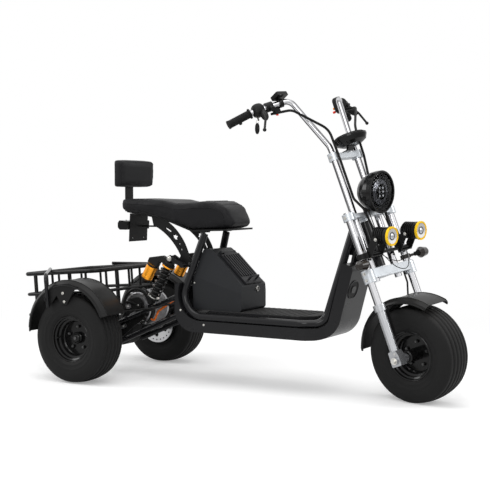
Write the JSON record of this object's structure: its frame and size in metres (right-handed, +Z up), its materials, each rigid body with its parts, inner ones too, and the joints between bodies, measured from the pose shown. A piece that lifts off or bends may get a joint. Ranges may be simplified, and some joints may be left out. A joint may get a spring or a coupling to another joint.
{
  "type": "three-wheeled electric scooter",
  "caption": "Step-through electric trike with fat tyres, raked double-tube fork, low floor, long seat with backrest, battery box and rear basket.",
  "frame": {"origin": "middle of the length and width, on the ground", "axes": "+X forward, +Y to the rider's left, +Z up"},
  "size_m": [2.1673, 0.9188, 1.3082],
  "materials": {
    "frame_black": "gloss",
    "body_black": "satin",
    "mat_black": "matt, ribbed",
    "box_grey": "satin",
    "lid_grey": "satin",
    "pack_grey": "satin",
    "seat_leather": "satin",
    "pad_leather": "satin",
    "bracket_black": "satin",
    "lamp_red": "gloss",
    "axle_black": "satin",
    "motor_silver": "satin",
    "shock_black": "satin",
    "spring_black": "gloss",
    "reservoir_gold": "anodised",
    "basket_black": "satin",
    "fender_black": "satin",
    "clamp_alloy": "satin",
    "fork_chrome": "polished",
    "leg_alloy": "satin",
    "bar_chrome": "polished",
    "grip_rubber": "matt, ribbed",
    "control_plastic": "satin",
    "lever_black": "satin",
    "gauge_black": "gloss",
    "bowl_black": "gloss",
    "lens_clear": "gloss",
    "lampbar_black": "satin",
    "spot_black": "satin",
    "ring_gold": "anodised",
    "signal_smoke": "gloss",
    "cable_black": "satin",
    "cable_orange": "satin",
    "tyre_black": "matt",
    "rim_black": "gloss",
    "disc_steel": "drilled",
    "caliper_black": "satin"
  },
  "bodies": {
    "chassis": {"main_frame": "frame_black", "deck_pan": "body_black", "deck_mat": "mat_black", "battery_box": "box_grey", "battery_pack": "pack_grey", "seat_base": "bracket_black", "seat_cushion": "seat_leather", "backrest_pad": "pad_leather", "seat_arms": "bracket_black", "seat_brackets": "bracket_black", "tail_light": "lamp_red", "rear_frame": "frame_black", "rear_axle": "axle_black", "motor": "motor_silver", "shock_bodies": "shock_black", "shock_springs": "spring_black", "shock_reservoirs": "reservoir_gold", "basket": "basket_black", "rear_fenders": "fender_black", "fender_stays": "basket_black", "rear_calipers": "caliper_black", "rear_cables": "cable_black", "motor_cable": "cable_orange"},
    "lid": {"battery_lid": "lid_grey"},
    "steering": {"fork_clamps": "clamp_alloy", "fork_tubes": "fork_chrome", "fork_legs": "leg_alloy", "handlebar": "bar_chrome", "grips": "grip_rubber", "bar_controls": "control_plastic", "brake_levers": "lever_black", "instruments": "gauge_black", "headlight_bowl": "bowl_black", "headlight_lens": "lens_clear", "lamp_bar": "lampbar_black", "spot_lights": "spot_black", "spot_rings": "ring_gold", "turn_signals": "signal_smoke", "front_fender": "fender_black", "front_caliper": "caliper_black", "control_cables": "cable_black"},
    "front_wheel": {"front_tyre": "tyre_black", "front_rim": "rim_black", "front_disc": "disc_steel"},
    "rear_right_wheel": {"rear_right_tyre": "tyre_black", "rear_right_rim": "rim_black", "rear_right_disc": "disc_steel"},
    "rear_left_wheel": {"rear_left_tyre": "tyre_black", "rear_left_rim": "rim_black", "rear_left_disc": "disc_steel"}
  },
  "joints": [
    {"name": "steering_turn", "type": "hinge", "parent": "chassis", "child": "steering", "pos_m": [0.65647, 0, 0.65351], "axis": [-0.3584, 0, 0.9336], "range_deg": [-19, 46]},
    {"name": "front_wheel_spin", "type": "hinge", "parent": "steering", "child": "front_wheel", "pos_m": [0.87325, -0.01018, 0.20534], "axis": [0.2211, 0.9715, 0.0849], "continuous": true},
    {"name": "rear_right_wheel_spin", "type": "hinge", "parent": "chassis", "child": "rear_right_wheel", "pos_m": [-0.65375, -0.354, 0.205], "axis": [0, 1, 0], "continuous": true},
    {"name": "rear_left_wheel_spin", "type": "hinge", "parent": "chassis", "child": "rear_left_wheel", "pos_m": [-0.65375, 0.354, 0.205], "axis": [0, 1, 0], "continuous": true},
    {"name": "battery_lid_open", "type": "hinge", "parent": "chassis", "child": "lid", "pos_m": [-0.06438, 0, 0.60085], "axis": [0, -1, 0], "range_deg": [0, 60]}
  ]
}
